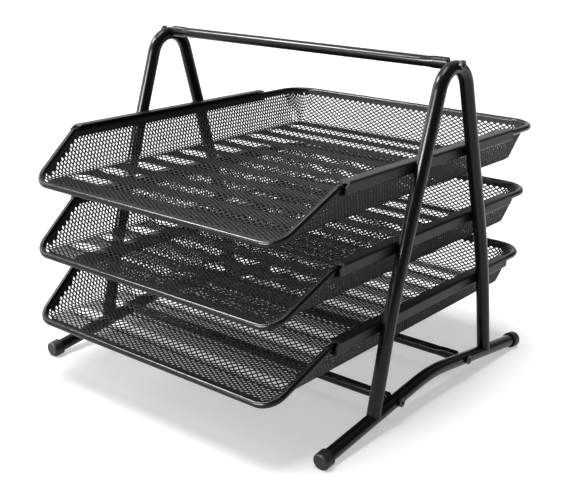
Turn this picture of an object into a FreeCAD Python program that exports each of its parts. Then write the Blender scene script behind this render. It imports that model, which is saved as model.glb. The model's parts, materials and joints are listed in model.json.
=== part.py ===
"""Stack of three sliding letter trays: two tube side frames, six C rails,
three wire-rimmed pressed mesh trays, a carrying handle and two cross tubes.

Frame: +X to the right, the low front of the trays faces -Y, +Z up. The origin is
on the desk surface, under the middle of the whole stack. Lengths are in millimetres.
"""
import FreeCAD, Part
import math
import os
import Sketcher
from FreeCAD import Placement, Rotation, Vector

X_AXIS = Vector(1, 0, 0)
Y_AXIS = Vector(0, 1, 0)
Z_AXIS = Vector(0, 0, 1)

SIDES = (("left", -1), ("right", 1))

# Driving sizes

SIZES = (
    # side frames
    ("frame_spacing", 285.0, "between the middle planes of the two side frames"),
    ("arch_tube_dia", 10.6, "outside of the arch tube"),
    ("arch_tube_wall", 1.0, "wall of the arch tube"),
    ("arch_height", 258.4, "centre of the arch tube at its top"),
    ("arch_top_radius", 20.0, "bend at the top of the arch"),
    ("arch_shift", 3.0, "top of the arch behind the origin"),
    ("leg_knee_height", 95.0, "height of the slight bend in a leg"),
    ("leg_knee_reach", 66.2, "that bend from the middle of the arch"),
    ("leg_foot_shift", 1.3, "middle between the legs' lower ends behind the origin"),
    ("leg_foot_reach", 81.8, "leg's lower end from there, on the foot tube's axis"),
    ("leg_knee_radius", 560.0, "radius of the slight bend"),
    ("foot_tube_dia", 10.2, "outside of the foot tube"),
    ("foot_tube_wall", 1.0, "wall of the foot tube"),
    ("foot_length", 275.8, "foot tube from end to end, without caps"),
    ("foot_ahead", 2.4, "middle of a foot ahead of the origin"),
    ("foot_peak_height", 24.45, "where the two straight halves of a foot would meet"),
    ("foot_slope", 7.56, "slope of each half, in degrees"),
    ("foot_crown_radius", 150.0, "bend in the middle of the foot tube"),
    # foot caps
    ("cap_dia", 13.2, "outside of a foot cap"),
    ("cap_cover", 5.2, "length of tube inside the cap's sleeve"),
    ("cap_nose", 3.4, "cap beyond the end of the tube"),
    ("cap_round", 1.8, "rounding of the cap's nose"),
    ("cap_stem_length", 9.0, "stem pushed into the tube"),
    ("cap_groove", 0.5, "depth and width of the ring groove behind the sleeve's lip"),
    ("cap_clearance", 0.05, "between the cap and the tube wall"),
    # handle and cross tubes
    ("handle_dia", 8.2, "outside of the carrying handle"),
    ("handle_rise", 2.4, "handle axis above the centre of the arch top"),
    ("cross_tube_dia", 8.3, "outside of a cross tube"),
    ("tie_wall", 1.0, "wall of the handle and the cross tubes"),
    ("front_cross_place", 52.5, "front cross tube ahead of the origin"),
    ("rear_cross_place", 46.9, "rear cross tube behind the origin"),
    ("cross_rise", 0.8, "middle of a cross tube above the middle of the foot tube"),
    ("pinch_length", 14.0, "pinched end of a handle or cross tube"),
    ("pinch_blend", 8.0, "from the round tube to the pinched end"),
    ("pinch_squeeze", 0.76, "thickness of the pinched end as a share of the tube"),
    ("pinch_spread", 1.1, "height of the pinched end as a share of the tube"),
    ("insert_dia", 4.2, "outside of a threaded insert"),
    ("insert_length", 12.0, "length of a threaded insert"),
    # screws
    ("screw_dia", 3.0, "shank of a screw"),
    ("screw_grip", 9.0, "screw inside its insert"),
    ("screw_head_dia", 7.2, "head of a screw"),
    ("screw_head_height", 2.0, "head of a screw"),
    ("screw_socket", 2.5, "hexagon socket across its flats"),
    ("screw_clearance", 0.1, "around a screw in a hole, on the radius"),
    # rails
    ("rail_sheet", 1.3, "sheet thickness of a rail"),
    ("rail_depth", 8.5, "width of a rail's flanges, outside"),
    ("rail_reach", 1.0, "least reach of the flanges beyond the middle of the rim's rod"),
    ("rail_above_rim", 4.7, "top of a rail above the centre of the rim"),
    ("rail_bend_radius", 1.9, "outside radius of a rail's bends"),
    ("rail_nose", 5.0, "length of the cut top corner in front"),
    ("rail_nose_drop", 3.6, "height of the cut top corner in front"),
    ("rail_stop_gap", 1.5, "from a rail's front end to the rim's bend, the tray's stop"),
    ("top_rail_length", 231.0, "length of the top rails"),
    ("middle_rail_length", 240.6, "length of the middle rails"),
    ("bottom_rail_length", 243.8, "length of the bottom rails"),
    # trays
    ("bottom_rim_height", 80.0, "centre of the bottom tray's rim"),
    ("tray_pitch", 55.7, "from one rim up to the next"),
    ("top_tray_back", 1.3, "top tray's place behind its drawn place"),
    ("middle_tray_back", -1.8, "middle tray's place"),
    ("bottom_tray_back", -3.2, "bottom tray's place"),
    ("rim_rod_dia", 5.2, "rod of the rim"),
    ("rim_width", 262.8, "between the rim's side rods, centre to centre"),
    ("rim_rear", 169.2, "rear rod behind the tray's drawn middle"),
    ("rim_front", 167.0, "front rod ahead of the tray's drawn middle"),
    ("rim_bend_place", 118.8, "where a side rod turns down, ahead of the middle"),
    ("rim_drop", 30.8, "front rod below the side rods"),
    ("rim_toe_in", 11.2, "how far each side rod comes inwards along its slope"),
    ("rim_rear_radius", 23.4, "rear corners of the rim"),
    ("rim_front_radius", 16.0, "front corners of the rim"),
    ("rim_bend_radius", 6.0, "where a side rod turns down"),
    ("rim_clearance", 0.6, "under the rod, above the rail's lower flange"),
    ("pan_depth", 29.5, "underside of the floor below the centre of the rim"),
    ("pan_draft", 20.8, "lean of the walls, in degrees"),
    ("pan_sheet", 0.6, "thickness of the pressed sheet"),
    ("pan_seam", 0.15, "weld seam between the sheet's edge and the rod's side"),
    ("pan_edge_drop", 0.5, "sheet's upper edge below the middle of the rod"),
    ("pan_overrun", 3.7, "drawn front edge of the floor ahead of the front rod"),
    ("floor_corner_radius", 10.0, "rear floor corners in plan"),
    ("floor_front_radius", 25.0, "front floor corners in plan, inside the rod's bend"),
    ("floor_edge_radius", 8.0, "rounding between floor and walls"),
    ("groove_count", 10, "grooves pressed down across the floor"),
    ("groove_front_gap", 29.0, "first groove behind the front rod"),
    ("groove_rear_gap", 37.0, "last groove ahead of the rear rod"),
    ("groove_end_gap", 6.5, "groove's end from the side edge of the floor"),
    ("groove_width", 17.0, "groove at the top of the floor"),
    ("groove_depth", 3.4, "groove's bottom below the floor"),
    ("groove_lean", 60.0, "lean of a groove's sides, in degrees"),
    # grid of openings, drawn in place of the fine diamond mesh
    ("grid_count", 12, "openings side by side in the floor and in each wall"),
    ("grid_bar", 3.5, "sheet between two openings"),
    ("grid_floor_margin", 8.0, "first opening from the side edge of the floor"),
    ("grid_groove_margin", 1.5, "between a groove and an opening of the floor"),
    ("grid_wall_foot", 7.5, "lower edge of a wall's openings above the floor's underside"),
    ("grid_hem", 5.0, "closed margin between a wall's openings and the rod"),
    ("grid_corner_gap", 12.0, "a wall's openings from the corner of the floor"),
)

TRAYS = (("bottom", 0), ("middle", 1), ("top", 2))

TINY = 1e-6    # closer than this is the same place

doc = FreeCAD.newDocument("letter_trays")
sheet = doc.addObject("Spreadsheet::Sheet", "Sizes")
for row, (alias, number, note) in enumerate(SIZES, start=1):
    sheet.set(f"A{row}", note)
    sheet.set(f"B{row}", str(number))
    sheet.setAlias(f"B{row}", alias)
doc.recompute()


# Helpers

def value(expression):
    """Number that an expression over the sheet's names gives."""
    result = sheet.evalExpression(expression)
    return float(getattr(result, "Value", result))


def size(alias):
    """One size of the sheet."""
    return float(sheet.get(alias))


def bind(obj, **expressions):
    """Bind properties of an object to expressions over the sheet."""
    for name, expression in expressions.items():
        obj.setExpression(name, expression)
    return obj


def place(obj, x="0", y="0", z="0"):
    """Bind where an object stands; its rotation stays."""
    obj.setExpression("Placement.Base.x", x)
    obj.setExpression("Placement.Base.y", y)
    obj.setExpression("Placement.Base.z", z)
    return obj


def turned(obj, axis):
    """Turn an object so that its own Z axis points along axis."""
    obj.Placement = Placement(Vector(), Rotation(Z_AXIS, axis))
    return obj


def fuse(name, shapes):
    result = doc.addObject("Part::MultiFuse", name)
    result.Shapes = shapes
    result.Refine = True
    return result


def cut(name, base, *tools):
    """Base without the tools."""
    result = doc.addObject("Part::Cut", name)
    result.Base = base
    result.Tool = tools[0] if len(tools) == 1 else fuse(name + "_tools", list(tools))
    return result


def cylinder(name, radius, length, axis, x="0", y="0", z="0"):
    """Cylinder from a place along an axis; all arguments but the axis are expressions."""
    rod = turned(doc.addObject("Part::Cylinder", name), axis)
    return place(bind(rod, Radius=radius, Height=length), x, y, z)


def round_corner(before, corner, after, radius):
    """Start, middle and end of the arc that rounds a corner."""
    back = (before - corner).normalize()
    ahead = (after - corner).normalize()
    half = back.getAngle(ahead) / 2
    inwards = (back + ahead).normalize()
    reach = radius / math.tan(half)
    sag = radius / math.sin(half) - radius
    return corner + back * reach, corner + inwards * sag, corner + ahead * reach


def rounded_wire(points, radii):
    """Open wire through the points, with an arc of its radius at each inner point."""
    edges = []
    here = points[0]
    for index, radius in enumerate(radii, start=1):
        start, middle, end = round_corner(points[index - 1], points[index], points[index + 1], radius)
        edges.append(Part.LineSegment(here, start).toShape())
        edges.append(Part.Arc(start, middle, end).toShape())
        here = end
    edges.append(Part.LineSegment(here, points[-1]).toShape())
    return Part.Wire(edges)


def origin_plane(body, role):
    return next(item for item in body.Origin.OriginFeatures if item.Role == role)


def new_body(name):
    body = doc.addObject("PartDesign::Body", name)
    doc.recompute()
    return body


def new_sketch(body, name, role):
    """Sketch on one of the body's own origin planes."""
    sketch = body.newObject("Sketcher::SketchObject", name)
    sketch.AttachmentSupport = [(origin_plane(body, role), "")]
    sketch.MapMode = "FlatFace"
    return sketch


def fix_point(sketch, geometry, position, x, y):
    """Bind a point of the sketch to two expressions."""
    for kind, expression in (("DistanceX", x), ("DistanceY", y)):
        number = sketch.addConstraint(
            Sketcher.Constraint(kind, -1, 1, geometry, position, value(expression)))
        sketch.setExpression(f"Constraints[{number}]", expression)


def rounded_lines(sketch, corners, radii, closed=False):
    """Straight lines through the corners with tangent arcs; all bound to the sheet.

    corners are pairs of expressions. radii holds one expression for each corner, or
    for each inner corner of an open line. A radius of None leaves the corner sharp.
    """
    points = [Vector(value(x), value(y), 0) for x, y in corners]
    count = len(points)
    if closed:
        turns = [(index, radii[index]) for index in range(count)]
    else:
        turns = [(index, radii[index - 1]) for index in range(1, count - 1)]
    entry = {}
    leave = {}
    arcs = {}
    for index, radius in turns:
        if radius is None:
            entry[index] = leave[index] = points[index]
            continue
        before = points[index - 1]
        after = points[(index + 1) % count]
        entry[index], arcs[index], leave[index] = round_corner(
            before, points[index], after, value(radius))
    lines = {}
    for index in range(count if closed else count - 1):
        following = (index + 1) % count
        segment = Part.LineSegment(leave.get(index, points[index]), entry.get(following, points[following]))
        lines[index] = sketch.addGeometry(segment, False)
    for index, radius in turns:
        line_in = lines[(index - 1) % count]
        line_out = lines[index]
        x, y = corners[index]
        if radius is None:
            sketch.addConstraint(Sketcher.Constraint("Coincident", line_in, 2, line_out, 1))
            fix_point(sketch, line_out, 1, x, y)
            continue
        mark = sketch.addGeometry(Part.Point(points[index]), True)
        fix_point(sketch, mark, 1, x, y)
        arc = Part.Arc(entry[index], arcs[index], leave[index])
        bend = sketch.addGeometry(arc, False)
        first = 1
        if sketch.getPoint(bend, 1).distanceToPoint(entry[index]) > TINY:
            first = 2
        sketch.addConstraint(Sketcher.Constraint("Tangent", line_in, 2, bend, first))
        sketch.addConstraint(Sketcher.Constraint("Tangent", bend, 3 - first, line_out, 1))
        sketch.addConstraint(Sketcher.Constraint("PointOnObject", mark, 1, line_in))
        sketch.addConstraint(Sketcher.Constraint("PointOnObject", mark, 1, line_out))
        number = sketch.addConstraint(Sketcher.Constraint("Radius", bend, value(radius)))
        sketch.setExpression(f"Constraints[{number}]", radius)
    if not closed:
        fix_point(sketch, lines[0], 1, *corners[0])
        fix_point(sketch, lines[count - 2], 2, *corners[-1])
    return sketch


def polygon(sketch, corners):
    return rounded_lines(sketch, corners, [None] * len(corners), closed=True)


def box_outline(sketch, left, right, low, high):
    return polygon(sketch, [(left, low), (right, low), (right, high), (left, high)])


def swept_rod(name, path, start, direction, radius):
    """Round rod along a path; the radius is an expression."""
    ring = doc.addObject("Part::Circle", name + "_ring")
    ring.Placement = Placement(start, Rotation(Z_AXIS, direction))
    bind(ring, Radius=radius)
    rod = doc.addObject("Part::Sweep", name)
    rod.Sections = [ring]
    rod.Spine = (path, [f"Edge{number + 1}" for number in range(len(path.Shape.Edges))])
    rod.Solid = True
    rod.Frenet = False
    return rod


def side_path(name, corners, radii, x):
    """Open rounded line in the plane of a side frame, drawn along Y and Z."""
    path = doc.addObject("Sketcher::SketchObject", name)
    path.Placement = Placement(Vector(), Rotation(Y_AXIS, Z_AXIS, X_AXIS, "ZXY"))
    path.setExpression("Placement.Base.x", x)
    rounded_lines(path, corners, radii)
    doc.recompute()
    return path


def round_edges(body, name, base, radius, wanted):
    """Fillet the edges of the base feature that wanted() picks by their shape."""
    names = [f"Edge{n + 1}" for n, edge in enumerate(base.Shape.Edges) if wanted(edge)]
    fillet = body.newObject("PartDesign::Fillet", name)
    fillet.Base = (base, names)
    bind(fillet, Radius=radius)
    doc.recompute()
    return fillet


# Expressions that several pieces share

HALF_SPACING = "Sizes.frame_spacing / 2"
FRAME_X = {"left": f"-{HALF_SPACING}", "right": HALF_SPACING}
FOOT_TAN = "tan(Sizes.foot_slope)"
HANDLE_Z = "(Sizes.arch_height + Sizes.handle_rise)"
CROSS_TUBES = (("front", "-Sizes.front_cross_place"), ("rear", "Sizes.rear_cross_place"))
FOOT_END = {"front": "(-Sizes.foot_length / 2 - Sizes.foot_ahead)",
            "rear": "(Sizes.foot_length / 2 - Sizes.foot_ahead)"}
SHANK_HOLE = "Sizes.screw_dia / 2 + Sizes.screw_clearance"


def foot_height(place_y):
    """Centre of the foot tube at a place on one of its straight halves."""
    return f"(Sizes.foot_peak_height - abs({place_y} + Sizes.foot_ahead) * {FOOT_TAN})"


def cross_height(place_y):
    """Centre of a cross tube that stands at a place along the foot."""
    return f"({foot_height(place_y)} + Sizes.cross_rise)"


def rim_height(level):
    return f"(Sizes.bottom_rim_height + {level} * Sizes.tray_pitch)"


def arch_peak():
    """Height where the straight upper legs of the arch would meet."""
    centre = size("arch_height") - size("arch_top_radius")
    rise = centre - size("leg_knee_height")
    reach = size("leg_knee_reach")
    lean = math.atan2(reach, rise) - math.asin(size("arch_top_radius") / math.hypot(reach, rise))
    return size("leg_knee_height") + reach / math.tan(lean)


# Side frames

def make_foot_rod(side, name, radius):
    """Rod along the arched foot; the tube and its bore are two of these."""
    ends = [(y, foot_height(y)) for y in FOOT_END.values()]
    corners = [ends[0], ("-Sizes.foot_ahead", "Sizes.foot_peak_height"), ends[1]]
    path = side_path(name + "_path", corners, ["Sizes.foot_crown_radius"], FRAME_X[side])
    slope = math.radians(size("foot_slope"))
    start = Vector(value(FRAME_X[side]), value(ends[0][0]), value(ends[0][1]))
    return swept_rod(name, path, start, Vector(0, math.cos(slope), math.sin(slope)), radius)


def make_arch_rod(side, name, radius):
    """Rod along the arch, from foot to foot."""
    peak = str(arch_peak())
    shift = "Sizes.arch_shift"
    front_foot = "(Sizes.leg_foot_shift - Sizes.leg_foot_reach)"
    rear_foot = "(Sizes.leg_foot_shift + Sizes.leg_foot_reach)"
    corners = [
        (front_foot, foot_height(front_foot)),
        (f"{shift} - Sizes.leg_knee_reach", "Sizes.leg_knee_height"),
        (shift, peak),
        (f"{shift} + Sizes.leg_knee_reach", "Sizes.leg_knee_height"),
        (rear_foot, foot_height(rear_foot)),
    ]
    radii = ["Sizes.leg_knee_radius", "Sizes.arch_top_radius", "Sizes.leg_knee_radius"]
    path = side_path(name + "_path", corners, radii, FRAME_X[side])
    start = Vector(value(FRAME_X[side]), value(corners[0][0]), value(corners[0][1]))
    knee = Vector(start.x, value(corners[1][0]), value(corners[1][1]))
    return swept_rod(name, path, start, knee - start, radius)


def make_side_frame(side):
    """Foot tube and arch tube of one side, with the screw holes."""
    foot_solid = make_foot_rod(side, f"{side}_foot_solid", "Sizes.foot_tube_dia / 2")
    foot_bore = make_foot_rod(side, f"{side}_foot_bore", "Sizes.foot_tube_dia / 2 - Sizes.foot_tube_wall")
    reach = "Sizes.foot_tube_dia * 2"
    holes = []
    for name, y in CROSS_TUBES:
        holes.append(cylinder(f"{side}_{name}_foot_hole", SHANK_HOLE, reach, X_AXIS,
                              f"{FRAME_X[side]} - Sizes.foot_tube_dia", y, cross_height(y)))
    foot = cut(f"{side}_foot_tube", foot_solid, foot_bore, *holes)

    arch_solid = make_arch_rod(side, f"{side}_arch_solid", "Sizes.arch_tube_dia / 2")
    arch_bore = make_arch_rod(side, f"{side}_arch_bore", "Sizes.arch_tube_dia / 2 - Sizes.arch_tube_wall")
    top_hole = cylinder(f"{side}_arch_hole", SHANK_HOLE, "Sizes.arch_tube_dia * 2", X_AXIS,
                        f"{FRAME_X[side]} - Sizes.arch_tube_dia", "Sizes.arch_shift", HANDLE_Z)
    hollow = cut(f"{side}_arch_hollow", arch_solid, arch_bore, top_hole)
    arch = cut(f"{side}_arch_tube", hollow, foot_solid)
    return [foot, arch]


def make_foot_cap(side, end, direction):
    """Domed cap with a sleeve around the tube, a stem inside it and a flat to stand on.

    The profile is drawn along the cap's own axis: u is the radius, v runs outwards
    and is 0 at the end of the tube.
    """
    body = new_body(f"{side}_{end}_cap_round")
    sketch = new_sketch(body, f"{side}_{end}_cap_profile", "XZ_Plane")
    outer = "Sizes.cap_dia / 2"
    sleeve = "Sizes.foot_tube_dia / 2 + Sizes.cap_clearance"
    stem = "Sizes.foot_tube_dia / 2 - Sizes.foot_tube_wall - Sizes.cap_clearance"
    lip = "-Sizes.cap_cover + 2 * Sizes.cap_groove"
    corners = [
        ("0", "-Sizes.cap_stem_length"),
        (stem, "-Sizes.cap_stem_length"),
        (stem, "0"),
        (sleeve, "0"),
        (sleeve, "-Sizes.cap_cover"),
        (outer, "-Sizes.cap_cover"),
        (outer, lip),
        (f"{outer} - Sizes.cap_groove", lip),
        (f"{outer} - Sizes.cap_groove", f"{lip} + Sizes.cap_groove"),
        (outer, f"{lip} + Sizes.cap_groove"),
        (outer, "Sizes.cap_nose"),
        ("0", "Sizes.cap_nose"),
    ]
    radii = [None] * len(corners)
    radii[10] = "Sizes.cap_round"
    rounded_lines(sketch, corners, radii, closed=True)
    turn = body.newObject("PartDesign::Revolution", f"{side}_{end}_cap_turn")
    turn.Profile = sketch
    turn.ReferenceAxis = (sketch, ["V_Axis"])
    turn.Angle = 360
    slope = math.radians(size("foot_slope"))
    outwards = Vector(0, direction * math.cos(slope), -math.sin(slope))
    turned(body, outwards)
    y = FOOT_END[end]
    place(body, FRAME_X[side], y, foot_height(y))

    below_desk = doc.addObject("Part::Box", f"{side}_{end}_below_desk")
    span = "2 * Sizes.cap_dia"
    bind(below_desk, Length=span, Width=f"2 * {span}", Height="Sizes.cap_dia")
    place(below_desk, f"{FRAME_X[side]} - Sizes.cap_dia", f"{y} - {span}", "-Sizes.cap_dia")
    return cut(f"{side}_{end}_foot_cap", body, below_desk)


# Handle and cross tubes

def make_tie_end(name, diameter, y, z, x_end, inwards):
    """Pinched end of a handle or cross tube: round, neck, then squeezed."""
    stations = (
        ("Sizes.pinch_length + Sizes.pinch_blend", "1", "1"),
        ("Sizes.pinch_length + Sizes.pinch_blend / 3", "0.99", "0.9"),
        ("Sizes.pinch_length - Sizes.pinch_blend / 4", "Sizes.pinch_spread", "Sizes.pinch_squeeze"),
        ("0", "Sizes.pinch_spread", "Sizes.pinch_squeeze"),
    )
    rings = []
    for number, (distance, tall, thin) in enumerate(stations):
        ring = doc.addObject("Part::Ellipse", f"{name}_ring_{number}")
        ring.Placement = Placement(Vector(), Rotation(Z_AXIS, Y_AXIS, X_AXIS, "ZXY"))
        bind(ring, MajorRadius=f"{diameter} / 2 * {tall}", MinorRadius=f"{diameter} / 2 * {thin}")
        place(ring, f"{x_end} + ({inwards}) * ({distance})", y, z)
        rings.append(ring)
    blend = loft(f"{name}_blend", rings[:3], False)
    pinched = loft(f"{name}_pinched", rings[2:], True)
    return [blend, pinched]


def loft(name, rings, ruled):
    result = doc.addObject("Part::Loft", name)
    result.Sections = rings
    result.Solid = True
    result.Ruled = ruled
    return result


def make_tie(label, diameter, y, z, seat_x):
    """Round tube across the object, pinched at both ends, with its two inserts.

    seat_x is the distance of each end from the middle.
    """
    taper = "(Sizes.pinch_length + Sizes.pinch_blend)"
    middle_length = f"2 * ({seat_x} - {taper})"
    middle = cylinder(f"{label}_middle", f"{diameter} / 2", middle_length, X_AXIS,
                      f"{taper} - {seat_x}", y, z)
    left_end = make_tie_end(f"{label}_left_end", diameter, y, z, f"-({seat_x})", 1)
    right_end = make_tie_end(f"{label}_right_end", diameter, y, z, f"({seat_x})", -1)
    outside = fuse(f"{label}_outside", [middle] + left_end + right_end)
    bore = cylinder(f"{label}_bore", f"{diameter} / 2 - Sizes.tie_wall", middle_length, X_AXIS,
                    f"{taper} - {seat_x}", y, z)
    seat_bore = cylinder(f"{label}_insert_bore", "Sizes.insert_dia / 2", f"2 * {seat_x}", X_AXIS,
                         f"-({seat_x})", y, z)
    tube = cut(label, outside, bore, seat_bore)
    inserts = []
    for side, start in (("left", f"-({seat_x})"), ("right", f"{seat_x} - Sizes.insert_length")):
        slug = cylinder(f"{label}_{side}_slug", "Sizes.insert_dia / 2", "Sizes.insert_length",
                        X_AXIS, start, y, z)
        thread = cylinder(f"{label}_{side}_thread", SHANK_HOLE, "Sizes.insert_length",
                          X_AXIS, start, y, z)
        inserts.append(cut(f"{label}_{side}_insert", slug, thread))
    return tube, inserts


def make_screw(name, side, seat_x, length, y, z):
    """Socket head screw from the outside; seat_x is where its head rests."""
    sign = "-1" if side == "left" else "1"
    outwards = X_AXIS * float(sign)
    head_seat = f"{sign} * ({seat_x})"
    shank = cylinder(f"{name}_shank", "Sizes.screw_dia / 2", length, outwards,
                     f"{sign} * ({seat_x} - ({length}))", y, z)
    head = cylinder(f"{name}_head", "Sizes.screw_head_dia / 2", "Sizes.screw_head_height",
                    outwards, head_seat, y, z)
    blank = fuse(f"{name}_blank", [shank, head])
    socket = turned(doc.addObject("Part::Prism", f"{name}_socket"), outwards)
    socket.Polygon = 6
    bind(socket, Circumradius="Sizes.screw_socket / 2 / cos(30)", Height="Sizes.screw_head_height")
    place(socket, f"{sign} * ({seat_x} + Sizes.screw_head_height / 3)", y, z)
    return cut(name, blank, socket)


def make_ties():
    """Handle, cross tubes, their threaded inserts and their screws."""
    pieces = []
    arch_y = "Sizes.arch_shift"
    arch_seat = f"({HALF_SPACING} - Sizes.arch_tube_dia / 2)"
    handle, inserts = make_tie("carry_handle", "Sizes.handle_dia", arch_y, HANDLE_Z, arch_seat)
    pieces.append(handle)
    pieces.append(joined("handle_inserts", inserts))
    for side, _ in SIDES:
        name = f"{side}_handle_screw"
        head_seat = f"{HALF_SPACING} + Sizes.arch_tube_dia / 2"
        length = "Sizes.arch_tube_dia + Sizes.screw_grip"
        pieces.append(make_screw(name, side, head_seat, length, arch_y, HANDLE_Z))

    foot_seat = f"({HALF_SPACING} - Sizes.foot_tube_dia / 2)"
    for place_name, y in CROSS_TUBES:
        label = f"{place_name}_cross_tube"
        z = cross_height(y)
        tube, inserts = make_tie(label, "Sizes.cross_tube_dia", y, z, foot_seat)
        pieces.append(tube)
        pieces.append(joined(f"{place_name}_cross_inserts", inserts))
        screws = []
        for side, _ in SIDES:
            head_seat = f"{HALF_SPACING} + Sizes.foot_tube_dia / 2"
            length = "Sizes.foot_tube_dia + Sizes.screw_grip"
            screws.append(make_screw(f"{label}_{side}_screw", side, head_seat, length, y, z))
        pieces.append(joined(f"{place_name}_cross_screws", screws))
    return pieces


def joined(label, solids):
    """Like pieces that share one file, as separate solids."""
    group = doc.addObject("Part::Compound", label)
    group.Links = solids
    return group


# Rails

RAIL_X = f"({HALF_SPACING} - Sizes.arch_tube_dia / 2)"
RAIL_INNER_FLOOR = "(Sizes.rim_rod_dia / 2 + Sizes.rim_clearance)"
RAIL_DEPTH = f"max(Sizes.rail_depth; {RAIL_X} - Sizes.rim_width / 2 + Sizes.rail_reach)"


def make_rail(side, sign, name, level):
    """C channel that opens inwards, with its top front corner cut off.

    The body's own Y axis runs to the rear and its origin lies at the rim's height,
    on the outer face of the web.
    """
    label = f"{side}_{name}_rail"
    body = new_body(label)
    low = f"-({RAIL_INNER_FLOOR} + Sizes.rail_sheet)"
    high = "Sizes.rail_above_rim"
    inner = f"{-sign} * {RAIL_DEPTH}"
    front = f"(Sizes.rim_bend_place - Sizes.{name}_tray_back - Sizes.rail_stop_gap)"

    outline = new_sketch(body, f"{label}_outline", "XZ_Plane")
    left, right = ("0", inner) if sign < 0 else (inner, "0")
    box_outline(outline, left, right, low, high)
    blank = body.newObject("PartDesign::Pad", f"{label}_blank")
    blank.Profile = outline
    blank.Reversed = True
    bind(blank, Length=f"Sizes.{name}_rail_length")
    doc.recompute()
    round_edges(body, f"{label}_bends", blank, "Sizes.rail_bend_radius", is_web_corner)

    channel = new_sketch(body, f"{label}_channel", "XZ_Plane")
    web = f"{-sign} * Sizes.rail_sheet"
    deep = f"{-sign} * ({RAIL_DEPTH} + 1)"
    left, right = (web, deep) if sign < 0 else (deep, web)
    box_outline(channel, left, right, f"-{RAIL_INNER_FLOOR}", "Sizes.rail_above_rim - Sizes.rail_sheet")
    hollow = body.newObject("PartDesign::Pocket", f"{label}_hollow")
    hollow.Profile = channel
    hollow.Type = "ThroughAll"
    doc.recompute()

    nose = new_sketch(body, f"{label}_nose", "YZ_Plane")
    polygon(nose, [("-1", f"{high} - Sizes.rail_nose_drop * (Sizes.rail_nose + 1) / Sizes.rail_nose"),
                   ("Sizes.rail_nose", high), ("Sizes.rail_nose", f"{high} + 1"), ("-1", f"{high} + 1")])
    trim = body.newObject("PartDesign::Pocket", f"{label}_trim")
    trim.Profile = nose
    trim.Type = "ThroughAll"
    trim.Midplane = True
    body.Tip = trim
    return place(body, f"{sign} * {RAIL_X}", f"-{front}", rim_height(level))


def is_web_corner(edge):
    """Long edge of the rail's blank that lies on the outer face of the web."""
    box = edge.BoundBox
    return box.YLength > box.ZLength and box.XLength < TINY and abs(box.XMin) < TINY


# Trays

FLOOR_INSET = "(Sizes.rim_rod_dia / 2 + Sizes.pan_seam + Sizes.pan_depth * tan(Sizes.pan_draft))"
FLOOR_HALF = f"(Sizes.rim_width / 2 - {FLOOR_INSET})"
PAN_HEIGHT = "(Sizes.pan_depth - Sizes.pan_edge_drop)"
FLOOR_REAR = f"(Sizes.rim_rear - {FLOOR_INSET})"
FLOOR_FRONT = "(-Sizes.rim_front - Sizes.pan_overrun)"
FIRST_GROOVE = "(Sizes.groove_front_gap - Sizes.rim_front)"
GROOVE_ROW = "(Sizes.rim_front + Sizes.rim_rear - Sizes.groove_front_gap - Sizes.groove_rear_gap)"
GROOVE_PITCH = f"({GROOVE_ROW} / (Sizes.groove_count - 1))"
GROOVE_END_ROUND = 0.98    # share of half the groove's width, so that its ends keep a short straight


def make_rim(name, level):
    """Rod bent all round the tray; its front part slopes down and inwards."""
    back = size(f"{name}_tray_back")
    top = value(rim_height(level))
    half = size("rim_width") / 2
    rear = size("rim_rear") + back
    front = back - size("rim_front")
    bend = back - size("rim_bend_place")
    low = top - size("rim_drop")
    points = [
        Vector(0, rear, top),
        Vector(half, rear, top),
        Vector(half, bend, top),
        Vector(half - size("rim_toe_in"), front, low),
        Vector(0, front, low),
    ]
    radii = [size("rim_rear_radius"), size("rim_bend_radius"), size("rim_front_radius")]
    path = doc.addObject("Part::Feature", f"{name}_rim_path")
    path.Shape = rounded_wire(points, radii)
    right_half = swept_rod(f"{name}_rim_right", path, points[0], X_AXIS, "Sizes.rim_rod_dia / 2")
    left_half = doc.addObject("Part::Mirroring", f"{name}_rim_left")
    left_half.Source = right_half
    left_half.Normal = X_AXIS
    return fuse(f"{name}_tray_rim", [right_half, left_half])


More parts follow.
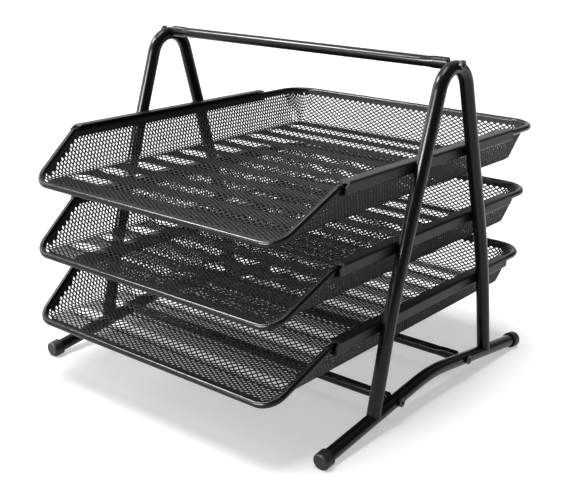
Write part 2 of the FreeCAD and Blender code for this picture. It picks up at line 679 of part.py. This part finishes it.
def make_pan(name, level):
    """Pressed pan: leaning walls, grooved floor, cut off along the rim's slope.

    The body's own origin lies on the underside of the floor. The sheet ends at a
    weld seam along the rim's rod.
    """
    body = new_body(f"{name}_tray_basket")
    outline = new_sketch(body, f"{name}_floor_outline", "XY_Plane")
    corners = [(f"-{FLOOR_HALF}", FLOOR_FRONT), (FLOOR_HALF, FLOOR_FRONT),
               (FLOOR_HALF, FLOOR_REAR), (f"-{FLOOR_HALF}", FLOOR_REAR)]
    radii = ["Sizes.floor_front_radius"] * 2 + ["Sizes.floor_corner_radius"] * 2
    rounded_lines(outline, corners, radii, closed=True)
    block = body.newObject("PartDesign::Pad", f"{name}_pan_block")
    block.Profile = outline
    bind(block, Length=PAN_HEIGHT, TaperAngle="Sizes.pan_draft")
    doc.recompute()
    rounded = round_edges(body, f"{name}_pan_edge", block, "Sizes.floor_edge_radius",
                          lambda edge: edge.BoundBox.ZMax < TINY)
    shell = body.newObject("PartDesign::Thickness", f"{name}_pan_shell")
    tops = [f"Face{n + 1}" for n, face in enumerate(rounded.Shape.Faces)
            if face.BoundBox.ZMin > value(PAN_HEIGHT) - TINY]
    shell.Base = (rounded, tops)
    shell.Reversed = True
    bind(shell, Value="Sizes.pan_sheet")
    doc.recompute()

    slope = new_sketch(body, f"{name}_slope_cut", "YZ_Plane")
    fall = "Sizes.rim_drop / (Sizes.rim_front - Sizes.rim_bend_place)"
    beyond = "Sizes.rim_front + 30"
    polygon(slope, [("-Sizes.rim_bend_place", PAN_HEIGHT),
                    (f"-({beyond})", f"{PAN_HEIGHT} - ({beyond} - Sizes.rim_bend_place) * {fall}"),
                    (f"-({beyond})", f"{PAN_HEIGHT} + 5"),
                    ("-Sizes.rim_bend_place", f"{PAN_HEIGHT} + 5")])
    opening = body.newObject("PartDesign::Pocket", f"{name}_slope_opening")
    opening.Profile = slope
    opening.Type = "ThroughAll"
    opening.Midplane = True
    doc.recompute()

    press_grooves(body, name)
    open_floor(body, name)
    open_walls(body, name)
    return place(body, "0", f"Sizes.{name}_tray_back", f"{rim_height(level)} - Sizes.pan_depth")


def press_grooves(body, name):
    """Row of grooves with rounded ends, pressed down across the floor."""
    outside = add_groove(body, f"{name}_groove", "PartDesign::Pad", "0")
    outside.Reversed = True
    hollow = add_groove(body, f"{name}_groove_hollow", "PartDesign::Pocket", "Sizes.pan_sheet")
    doc.recompute()
    repeat(body, f"{name}_grooves", [outside, hollow], "Y_Axis", GROOVE_ROW, "groove_count")


def add_groove(body, name, kind, height):
    """Outside or hollow of the first groove, from a height above the floor's underside."""
    sketch = new_sketch(body, f"{name}_outline", "XY_Plane")
    sketch.setExpression("AttachmentOffset.Base.z", height)
    half_length = f"({FLOOR_HALF} - Sizes.groove_end_gap)"
    half_width = "Sizes.groove_width / 2"
    front = f"{FIRST_GROOVE} - {half_width}"
    rear = f"{FIRST_GROOVE} + {half_width}"
    corners = [(f"-{half_length}", front), (half_length, front),
               (half_length, rear), (f"-{half_length}", rear)]
    rounded_lines(sketch, corners, [f"{half_width} * {GROOVE_END_ROUND}"] * 4, closed=True)
    feature = body.newObject(kind, name)
    feature.Profile = sketch
    bind(feature, Length="Sizes.groove_depth", TaperAngle="-Sizes.groove_lean")
    doc.recompute()
    return feature


def repeat(body, name, features, axis, length, count):
    """Row of the features along one of the body's axes; the tip moves to it."""
    row = body.newObject("PartDesign::LinearPattern", name)
    row.Originals = features
    row.Direction = (origin_plane(body, axis), [""])
    row.Occurrences = int(size(count))
    bind(row, Length=length)
    body.Tip = row
    return row


def open_grid(body, name, role, span, low, high, axis):
    """Row of openings between the two ends of span, cut through from an origin plane.

    Returns the first opening and the row.
    """
    start, end = span
    pitch = f"(({end} - {start} + Sizes.grid_bar) / Sizes.grid_count)"
    sketch = new_sketch(body, f"{name}_outline", role)
    box_outline(sketch, start, f"{start} + {pitch} - Sizes.grid_bar", low, high)
    window = body.newObject("PartDesign::Pocket", f"{name}_window")
    window.Profile = sketch
    window.Type = "ThroughAll"
    doc.recompute()
    row = repeat(body, f"{name}_row", [window], axis, f"{pitch} * (Sizes.grid_count - 1)", "grid_count")
    return window, row


def open_floor(body, name):
    """Openings ahead of each groove, in rows from side to side."""
    edge = f"({FLOOR_HALF} - Sizes.grid_floor_margin)"
    middle = f"({FIRST_GROOVE} - {GROOVE_PITCH} / 2)"
    half = f"(({GROOVE_PITCH} - Sizes.groove_width) / 2 - Sizes.grid_groove_margin)"
    window, row = open_grid(body, f"{name}_floor", "XY_Plane", (f"-{edge}", edge),
                            f"{middle} - {half}", f"{middle} + {half}", "X_Axis")
    window.Midplane = True
    row.Direction2 = (origin_plane(body, "Y_Axis"), [""])
    row.Occurrences2 = int(size("groove_count"))
    bind(row, Length2=GROOVE_ROW)
    doc.recompute()


def open_walls(body, name):
    """One row of openings in the rear wall, one through both side walls."""
    low = "Sizes.grid_wall_foot"
    high = "(Sizes.pan_depth - Sizes.rim_rod_dia / 2 - Sizes.grid_hem)"
    edge = f"({FLOOR_HALF} - Sizes.grid_corner_gap)"
    open_grid(body, f"{name}_rear_wall", "XZ_Plane", (f"-{edge}", edge), low, high, "X_Axis")
    doc.recompute()
    front = "-(Sizes.rim_bend_place - Sizes.grid_bar)"
    rear = f"({FLOOR_REAR} - Sizes.grid_corner_gap)"
    window, _ = open_grid(body, f"{name}_side_wall", "YZ_Plane", (front, rear), low, high, "Y_Axis")
    window.Midplane = True
    doc.recompute()


# The whole stack

nodes = []
for side, sign in SIDES:
    nodes += make_side_frame(side)
    for end, direction in (("front", -1), ("rear", 1)):
        nodes.append(make_foot_cap(side, end, direction))
nodes += make_ties()
for name, level in TRAYS:
    for side, sign in SIDES:
        nodes.append(make_rail(side, sign, name, level))
    nodes += [make_rim(name, level), make_pan(name, level)]
doc.recompute()

for item in doc.Objects:
    if {"Invalid", "Error"} & set(item.State):
        raise RuntimeError(f"{item.Name} failed: {item.State}")
os.makedirs("parts", exist_ok=True)
for node in nodes:
    if node.Shape.isNull() or not node.Shape.isValid():
        raise RuntimeError(f"{node.Label} has no valid shape")
for node in nodes:
    node.Shape.exportStep(f"parts/{node.Label}.step")
    print(f"{node.Label}: {len(node.Shape.Solids)} solids, {node.Shape.Volume:.1f} mm3")
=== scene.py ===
"""Stack of three letter trays: black painted tubes and rails, expanded metal baskets.

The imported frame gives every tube, rail, rim, cap and screw. This script presses the
three mesh baskets from flat diamond sheet, paints everything and lights it from above.
"""
import json
import math

import bpy
import numpy as np
from mathutils import Matrix, Vector


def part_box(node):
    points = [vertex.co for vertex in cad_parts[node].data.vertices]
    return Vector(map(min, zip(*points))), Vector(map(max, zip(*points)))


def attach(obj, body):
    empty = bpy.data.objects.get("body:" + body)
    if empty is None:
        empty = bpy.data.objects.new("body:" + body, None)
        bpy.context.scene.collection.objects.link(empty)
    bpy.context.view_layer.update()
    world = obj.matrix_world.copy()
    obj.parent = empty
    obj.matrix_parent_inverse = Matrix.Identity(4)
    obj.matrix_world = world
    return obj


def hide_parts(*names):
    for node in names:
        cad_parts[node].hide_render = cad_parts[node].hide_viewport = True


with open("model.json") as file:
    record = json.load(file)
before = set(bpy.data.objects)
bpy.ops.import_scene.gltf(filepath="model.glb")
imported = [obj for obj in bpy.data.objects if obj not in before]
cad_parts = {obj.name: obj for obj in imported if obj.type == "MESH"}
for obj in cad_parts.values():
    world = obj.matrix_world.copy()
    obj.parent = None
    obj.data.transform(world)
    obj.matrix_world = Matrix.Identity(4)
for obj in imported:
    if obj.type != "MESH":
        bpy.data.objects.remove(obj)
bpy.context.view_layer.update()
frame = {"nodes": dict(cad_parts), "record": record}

MM = 0.001
TRAYS = ("bottom", "middle", "top")
TINY = 1e-9               # keeps a division away from nothing

# The basket, pressed from one diamond sheet. Lengths in millimetres.
LONG_WAY = 6.0            # diamond across the tray
SHORT_WAY = 3.5           # diamond along the tray
STRAND_WIDTH = 1.0
SAME_LINE = 0.1           # an edge that runs straight across or along the sheet
LEAST_DIAMOND = 0.25      # share of a diamond that is still opened at a cut edge
SHEET_THICKNESS = 0.6
ROD_RADIUS = 2.6
ROD_SEAT = 0.4            # sheet edge inside the rod
WALL_LEAN = math.radians(20.8)
PAN_DEPTH = 29.5
FLOOR_CORNER = 10.0       # floor corners in plan
FLOOR_ROUND = 6.5         # floor to wall
CORNER_PULL = 6.5         # floor corners drawn inwards where the sheet stretches
RIM_PULL = 0.8            # the same at the rod
PULL_FADE = 1.3           # how fast one turns into the other up the wall
FRONT_OVERRUN = 3.7       # floor's drawn front edge ahead of the front rod
RIM_REAR_TO_FRONT = 336.2
SLOPE_RUN = 48.2          # from the rods' bend to the front rod
RIM_DROP = 30.8
HEM_WIDTH = 2.9           # closed sheet below the middle of the rod
SLOPE_HEM = 3.4           # the same along the sloping rods
WALL_FOOT = FLOOR_ROUND / 3    # above the floor, where the wall's piece begins

# Grooves pressed down into the floor
GROOVE_COUNT = 10
FIRST_GROOVE = 29.0       # behind the front rod
LAST_GROOVE = 37.0        # ahead of the rear rod
GROOVE_END_GAP = 6.5      # from the floor's side edge
GROOVE_HALF_WIDTH = 8.5
GROOVE_DEPTH = 3.4
GROOVE_RUN = 6.5          # width of a groove's rounded side

# Each finish: its slot in the record, name, colour, gloss, roughness, grains in a metre
# and height of a grain in metres
BLACK = (0.0055, 0.0055, 0.006)
FINISHES = (
    ("tube_paint", "black_tube_paint", BLACK, 0.2, 0.21, 900, 0.00004),
    ("rail_paint", "satin_rail_paint", (0.009, 0.009, 0.0097), 0.2, 0.38, 900, 0.00006),
    ("rim_paint", "black_rod_paint", BLACK, 0.2, 0.22, 900, 0.00004),
    ("mesh_paint", "black_mesh_paint", (0.028, 0.028, 0.029), 0.07, 0.4, 1500, 0.00003),
    ("foot_cap_plastic", "black_cap_plastic", (0.016, 0.016, 0.017), 0.3, 0.45, 600, 0.00004),
    ("dark_screw_steel", "black_zinc", (0.012, 0.012, 0.013), 0.3, 0.3, 500, 0.00003),
    ("plain_steel", "zinc_plate", (0.4, 0.4, 0.42), 0.5, 0.3, 500, 0.00003),
)
GLOSSIER = 0.05           # roughness lost where the coat is glossiest
DULLER = 0.07             # roughness gained where it is dullest
PATCH_SIZE = 12           # a patch of changed gloss, in grains
GRAIN_STRENGTH = 0.25

# The studio
TABLE_SIZE = 14
TABLE_WHITE = (0.86, 0.86, 0.865)
FLOOR_GLOW = 0.42
WORLD_LIGHT = 0.2
RIGHT_WALL = 0.12         # brightness that a reflection finds on the right
WALL_BEGINS = -0.3        # sideways part of a ray's direction where it starts to dim
WALL_ENDS = 0.4


# Building helpers

def only(obj):
    """Select and activate the object alone, in object mode."""
    deselect()
    bpy.context.view_layer.objects.active = obj
    obj.select_set(True)


def deselect():
    """Nothing selected."""
    if bpy.context.object and bpy.context.object.mode != "OBJECT":
        bpy.ops.object.mode_set(mode="OBJECT")
    bpy.ops.object.select_all(action="DESELECT")


def edit(obj, select_mode="FACE"):
    """Open the object alone in edit mode, with nothing selected."""
    only(obj)
    bpy.ops.object.mode_set(mode="EDIT")
    bpy.ops.mesh.select_mode(type=select_mode)
    bpy.ops.mesh.select_all(action="DESELECT")


def done():
    """Back to object mode."""
    bpy.ops.object.mode_set(mode="OBJECT")


def pick(obj, kind, wanted):
    """In edit mode, select the polygons or edges of the object that wanted() names."""
    bpy.ops.mesh.select_all(action="DESELECT")
    done()
    for item in getattr(obj.data, kind):
        item.select = bool(wanted(item))
    bpy.ops.object.mode_set(mode="EDIT")


def points_of(obj):
    """The mesh's points, one row each."""
    flat = np.empty(len(obj.data.vertices) * 3)
    obj.data.vertices.foreach_get("co", flat)
    return flat.reshape(-1, 3)


def set_points(obj, points):
    """Move the mesh's points to these rows."""
    obj.data.vertices.foreach_set("co", points.ravel())
    obj.data.update()


# Shape of a pressed basket

class Pan:
    """Floor, walls and trim planes of one tray's basket, in millimetres."""

    def __init__(self, tray):
        _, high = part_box(f"{tray}_tray_rim")
        self.rim_height = high.z / MM - ROD_RADIUS
        self.rear_rod = high.y / MM - ROD_RADIUS
        self.front_rod = self.rear_rod - RIM_REAR_TO_FRONT
        rod_half = high.x / MM - ROD_RADIUS
        inset = ROD_RADIUS - ROD_SEAT + PAN_DEPTH * math.tan(WALL_LEAN)
        self.half_width = rod_half - inset
        self.floor_height = self.rim_height - PAN_DEPTH + SHEET_THICKNESS / 2
        self.core_x = self.half_width - FLOOR_CORNER
        self.core_front = self.front_rod - FRONT_OVERRUN + FLOOR_CORNER
        self.core_rear = self.rear_rod - inset - FLOOR_CORNER

    def tangent(self):
        """From the floor's sharp edge back to where its rounding starts."""
        return FLOOR_ROUND * math.tan((math.pi / 2 - WALL_LEAN) / 2)

    def bend_length(self):
        """Length of sheet in the rounding between floor and wall."""
        return FLOOR_ROUND * (math.pi / 2 - WALL_LEAN)

    def reach(self):
        """Length of sheet from the core of the floor to the top of a wall."""
        tangent = self.tangent()
        wall = PAN_DEPTH / math.cos(WALL_LEAN) - tangent
        return FLOOR_CORNER - tangent + self.bend_length() + wall

    def profile(self, run):
        """Distance from the core and height for a length of sheet, out from the core."""
        flat = FLOOR_CORNER - self.tangent()
        bend_end = flat + self.bend_length()
        angle = np.clip((run - flat) / FLOOR_ROUND, 0, math.pi / 2 - WALL_LEAN)
        along = np.maximum(run - bend_end, 0)
        out = np.minimum(run, flat) + FLOOR_ROUND * np.sin(angle) + along * math.sin(WALL_LEAN)
        up = FLOOR_ROUND * (1 - np.cos(angle)) + along * math.cos(WALL_LEAN)
        return out, up

    def groove_depth(self, x, y):
        """How far the floor is pressed down at each place."""
        half_axis = self.half_width - GROOVE_END_GAP - GROOVE_HALF_WIDTH
        beyond = np.maximum(np.abs(x) - half_axis, 0)
        depth = np.zeros_like(x)
        first = self.front_rod + FIRST_GROOVE
        last = self.rear_rod - LAST_GROOVE
        for place in np.linspace(first, last, GROOVE_COUNT):
            inside = GROOVE_HALF_WIDTH - np.hypot(beyond, y - place)
            share = np.clip(inside / GROOVE_RUN, 0, 1)
            depth = np.maximum(depth, GROOVE_DEPTH * share * share * (3 - 2 * share))
        return depth

    def press(self, sheet):
        """Places of flat sheet points on the pressed basket, in metres."""
        x, y = sheet[:, 0] / MM, sheet[:, 1] / MM
        core_x = np.clip(x, -self.core_x, self.core_x)
        core_y = np.clip(y, self.core_front, self.core_rear)
        run = np.hypot(x - core_x, y - core_y)
        out, up = self.profile(run)
        scale = np.where(run > TINY, out / np.maximum(run, TINY), 0)
        aslant = np.abs(2 * (x - core_x) * (y - core_y)) / np.maximum(run * run, TINY)
        low = np.clip(1 - up / PAN_DEPTH, 0, 1)
        pull = RIM_PULL + (CORNER_PULL - RIM_PULL) * low ** PULL_FADE
        scale *= 1 - pull / np.maximum(out, FLOOR_CORNER) * aslant
        px = core_x + (x - core_x) * scale
        py = core_y + (y - core_y) * scale
        pz = self.floor_height + up - np.where(up > 0, 0, self.groove_depth(px, py))
        return np.column_stack((px, py, pz)) * MM

    def slope_plane(self):
        """Point and upward normal of the plane through the rim's two sloping rods."""
        fall = RIM_DROP / SLOPE_RUN
        point = Vector((0, (self.front_rod + SLOPE_RUN) * MM, self.rim_height * MM))
        return point, Vector((0, -fall, 1)).normalized()


def diamond_sheet(name, pan):
    """Flat sheet of diamonds, large enough for the basket."""
    reach = pan.reach() + 2 * SHORT_WAY
    width = 2 * (pan.core_x + reach)
    length = pan.core_rear - pan.core_front + 2 * reach
    columns = math.ceil(width / LONG_WAY)
    rows = math.ceil(length / SHORT_WAY)
    centre_y = (pan.core_front + pan.core_rear) / 2 * MM
    deselect()
    bpy.ops.mesh.primitive_grid_add(x_subdivisions=columns, y_subdivisions=rows, size=1,
                                    location=(0, centre_y, 0))
    sheet = bpy.context.object
    sheet.name = name
    sheet.scale = (columns * LONG_WAY * MM, rows * SHORT_WAY * MM, 1)
    bpy.ops.object.transform_apply(location=True, rotation=True, scale=True)
    edit(sheet, "EDGE")
    bpy.ops.mesh.select_all(action="SELECT")
    bpy.ops.mesh.poke()
    done()
    corners = sheet.data.vertices

    def is_straight(edge):
        step = corners[edge.vertices[0]].co - corners[edge.vertices[1]].co
        return min(abs(step.x), abs(step.y)) < SAME_LINE * MM

    bpy.ops.object.mode_set(mode="EDIT")
    pick(sheet, "edges", is_straight)
    bpy.ops.mesh.dissolve_edges(use_verts=False)
    done()
    return sheet


def trim(obj, point, outwards):
    """Cut away what lies beyond a plane."""
    edit(obj)
    bpy.ops.mesh.select_all(action="SELECT")
    bpy.ops.mesh.bisect(plane_co=point, plane_no=outwards, clear_outer=True)
    done()


def open_holes(obj, pan):
    """Open each diamond, but leave the margin along the rim closed."""
    slope_point, slope_normal = pan.slope_plane()
    top = pan.rim_height * MM
    front = (pan.front_rod + ROD_RADIUS) * MM
    full = LONG_WAY * SHORT_WAY / 2 * MM * MM
    hem = HEM_WIDTH * MM
    slope_hem = SLOPE_HEM * MM

    def is_hole(face):
        below_slope = -(face.center - slope_point).dot(slope_normal)
        above_floor = face.center.z - pan.floor_height * MM
        on_wall = above_floor > hem
        if on_wall and (below_slope < slope_hem or top - face.center.z < hem):
            return False
        if face.center.y < front + SHORT_WAY / 2 * MM:
            return False
        return face.area > LEAST_DIAMOND * full

    edit(obj)
    pick(obj, "polygons", is_hole)
    bpy.ops.mesh.inset(thickness=STRAND_WIDTH / 2 * MM, use_individual=True, use_even_offset=True)
    bpy.ops.mesh.delete(type="FACE")
    done()


def thicken(obj):
    """Give the sheet its thickness, half on each side."""
    sheet = obj.modifiers.new("Thickness", "SOLIDIFY")
    sheet.thickness = SHEET_THICKNESS * MM
    sheet.offset = 0
    only(obj)
    bpy.ops.object.modifier_apply(modifier=sheet.name)


def split_walls(net, pan):
    """Make the walls a piece of their own, so that neither piece has too many faces."""
    wall_foot = (pan.floor_height + WALL_FOOT) * MM
    edit(net)
    pick(net, "polygons", lambda face: face.center.z > wall_foot)
    bpy.ops.mesh.separate(type="SELECTED")
    done()
    return next(piece for piece in bpy.context.selected_objects if piece is not net)


def make_basket(tray):
    """Mesh basket of one tray, as a floor piece and a wall piece."""
    pan = Pan(tray)
    net = diamond_sheet(f"{tray}_tray_floor_mesh", pan)
    set_points(net, pan.press(points_of(net)))
    slope_point, slope_normal = pan.slope_plane()
    trim(net, Vector((0, 0, pan.rim_height * MM)), Vector((0, 0, 1)))
    trim(net, slope_point, slope_normal)
    open_holes(net, pan)
    thicken(net)
    walls = split_walls(net, pan)
    walls.name = f"{tray}_tray_wall_mesh"
    for piece in (net, walls):
        piece.data.name = piece.name
        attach(piece, f"{tray}_tray")
        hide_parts(f"{tray}_tray_basket")
    return net, walls


# Materials

def new_material(name):
    """A material with its node tree and its shader."""
    material = bpy.data.materials.new(name)
    material.use_nodes = True
    return material, material.node_tree, material.node_tree.nodes["Principled BSDF"]


def noise(tree, place, scale, detail):
    """Noise over the object's own coordinates."""
    node = tree.nodes.new("ShaderNodeTexNoise")
    node.inputs["Scale"].default_value = scale
    node.inputs["Detail"].default_value = detail
    tree.links.new(place.outputs["Object"], node.inputs["Vector"])
    return node.outputs["Fac"]


def painted_steel(name, colour, gloss, roughness, grain, grain_depth):
    """Powder coat: fine orange peel and a little change of gloss."""
    material, tree, shader = new_material(name)
    shader.inputs["Base Color"].default_value = (*colour, 1)
    shader.inputs["Specular IOR Level"].default_value = gloss
    place = tree.nodes.new("ShaderNodeTexCoord")
    fine = noise(tree, place, grain, detail=3)
    broad = noise(tree, place, grain / PATCH_SIZE, detail=2)
    spread = tree.nodes.new("ShaderNodeMapRange")
    spread.inputs["To Min"].default_value = roughness - GLOSSIER
    spread.inputs["To Max"].default_value = roughness + DULLER
    bump = tree.nodes.new("ShaderNodeBump")
    bump.inputs["Strength"].default_value = GRAIN_STRENGTH
    bump.inputs["Distance"].default_value = grain_depth
    tree.links.new(broad, spread.inputs["Value"])
    tree.links.new(spread.outputs["Result"], shader.inputs["Roughness"])
    tree.links.new(fine, bump.inputs["Height"])
    tree.links.new(bump.outputs["Normal"], shader.inputs["Normal"])
    return material


def dress(piece, material):
    """Give the piece this one material."""
    piece.data.materials.clear()
    piece.data.materials.append(material)


# The scene around it

def greater(tree, first, second):
    """The greater of two values."""
    node = tree.nodes.new("ShaderNodeMath")
    node.operation = "MAXIMUM"
    tree.links.new(first, node.inputs[0])
    tree.links.new(second, node.inputs[1])
    return node.outputs["Value"]


def seen_directly(tree):
    """1 for what the eye, a reflection or a clear piece sees, 0 for light that falls."""
    rays = tree.nodes.new("ShaderNodeLightPath").outputs
    eye_or_gloss = greater(tree, rays["Is Camera Ray"], rays["Is Glossy Ray"])
    return greater(tree, eye_or_gloss, rays["Is Transmission Ray"])


def make_floor():
    """White table top that keeps the shadow."""
    deselect()
    bpy.ops.mesh.primitive_plane_add(size=TABLE_SIZE)
    floor = bpy.context.object
    floor.name = "floor"
    material, tree, shader = new_material("white_table")
    shader.inputs["Base Color"].default_value = (*TABLE_WHITE, 1)
    shader.inputs["Roughness"].default_value = 0.9
    shader.inputs["Specular IOR Level"].default_value = 0.0
    shader.inputs["Emission Color"].default_value = (1, 1, 1, 1)
    glow = tree.nodes.new("ShaderNodeMath")
    glow.operation = "MULTIPLY"
    glow.inputs[1].default_value = FLOOR_GLOW
    tree.links.new(seen_directly(tree), glow.inputs[0])
    tree.links.new(glow.outputs["Value"], shader.inputs["Emission Strength"])
    dress(floor, material)


def make_world():
    """Dim even light on a white ground. A reflection finds the studio dark on the right."""
    world = bpy.data.worlds.new("studio")
    bpy.context.scene.world = world
    world.use_nodes = True
    tree = world.node_tree
    background = tree.nodes["Background"]
    background.inputs["Color"].default_value = (1, 1, 1, 1)
    place = tree.nodes.new("ShaderNodeTexCoord")
    direction = tree.nodes.new("ShaderNodeSeparateXYZ")
    wall = tree.nodes.new("ShaderNodeMapRange")
    wall.inputs["From Min"].default_value = WALL_BEGINS
    wall.inputs["From Max"].default_value = WALL_ENDS
    wall.inputs["To Min"].default_value = 1.0
    wall.inputs["To Max"].default_value = RIGHT_WALL
    lit = tree.nodes.new("ShaderNodeMix")
    lit.inputs["A"].default_value = WORLD_LIGHT
    eye = tree.nodes.new("ShaderNodeLightPath")
    seen = tree.nodes.new("ShaderNodeMix")
    seen.inputs["B"].default_value = 1.0
    links = tree.links
    links.new(place.outputs["Generated"], direction.inputs["Vector"])
    links.new(direction.outputs["X"], wall.inputs["Value"])
    links.new(seen_directly(tree), lit.inputs["Factor"])
    links.new(wall.outputs["Result"], lit.inputs["B"])
    links.new(eye.outputs["Is Camera Ray"], seen.inputs["Factor"])
    links.new(lit.outputs["Result"], seen.inputs["A"])
    links.new(seen.outputs["Result"], background.inputs["Strength"])


def hang(lamp, facing):
    """Put a lamp in the scene, turned along a direction."""
    holder = bpy.data.objects.new(lamp.name, lamp)
    bpy.context.scene.collection.objects.link(holder)
    holder.rotation_mode = "QUATERNION"
    holder.rotation_quaternion = facing.to_track_quat("-Z", "Y")
    return holder


def high_sun(name, place, spread, strength):
    """Light from far away above, which lights the whole table evenly."""
    lamp = bpy.data.lights.new(name, "SUN")
    lamp.angle = math.radians(spread)
    lamp.energy = strength
    hang(lamp, -Vector(place))


def soft_lamp(name, place, target, width, height, power, only_gloss=False):
    """Area lamp that faces a point. One for the gloss alone is a studio's white card."""
    lamp = bpy.data.lights.new(name, "AREA")
    lamp.shape = "RECTANGLE"
    lamp.size = width
    lamp.size_y = height
    lamp.energy = power
    holder = hang(lamp, Vector(target) - Vector(place))
    holder.location = place
    holder.visible_diffuse = not only_gloss


def make_camera():
    """Camera where the photograph was taken from."""
    azimuth = math.radians(38.73)
    elevation = math.radians(18.49)
    roll = 0.017
    place = Vector((0.508, -0.639, 0.364))
    back = Vector((math.sin(azimuth) * math.cos(elevation),
                   -math.cos(azimuth) * math.cos(elevation),
                   math.sin(elevation)))
    right = Vector((math.cos(azimuth), math.sin(azimuth), 0))
    up = back.cross(right)
    right_rolled = right * math.cos(roll) + up * math.sin(roll)
    up_rolled = back.cross(right_rolled)
    turn = Matrix((right_rolled, up_rolled, back)).transposed()
    data = bpy.data.cameras.new("camera")
    data.lens = 64.2
    data.sensor_width = 36
    camera = bpy.data.objects.new("camera", data)
    bpy.context.scene.collection.objects.link(camera)
    camera.matrix_world = Matrix.Translation(place) @ turn.to_4x4()
    bpy.context.scene.camera = camera


PAINTS = {slot: painted_steel(*finish) for slot, *finish in FINISHES}
SLOT_OF = {part["node"]: part["material_slot"] for part in frame["record"]["subparts"]}
for node, obj in frame["nodes"].items():
    dress(obj, PAINTS[SLOT_OF[node]])

for tray in TRAYS:
    for piece in make_basket(tray):
        dress(piece, PAINTS["mesh_paint"])

make_floor()
make_world()
high_sun("overhead", place=(-0.2, -0.08, 1.5), spread=34, strength=2.6)
soft_lamp("left", place=(-1.9, -0.4, 0.7), target=(0, 0, 0.1), width=1.8, height=1.2, power=22)
soft_lamp("front_card", place=(-0.62, -2.0, 0.72), target=(0, 0, 0.15), width=0.9, height=0.5,
          power=95, only_gloss=True)
soft_lamp("high_card", place=(-1.19, -0.73, 1.6), target=(0, 0, 0.2), width=0.5, height=0.5,
          power=60, only_gloss=True)
make_camera()
bpy.context.scene.view_settings.view_transform = "Standard"
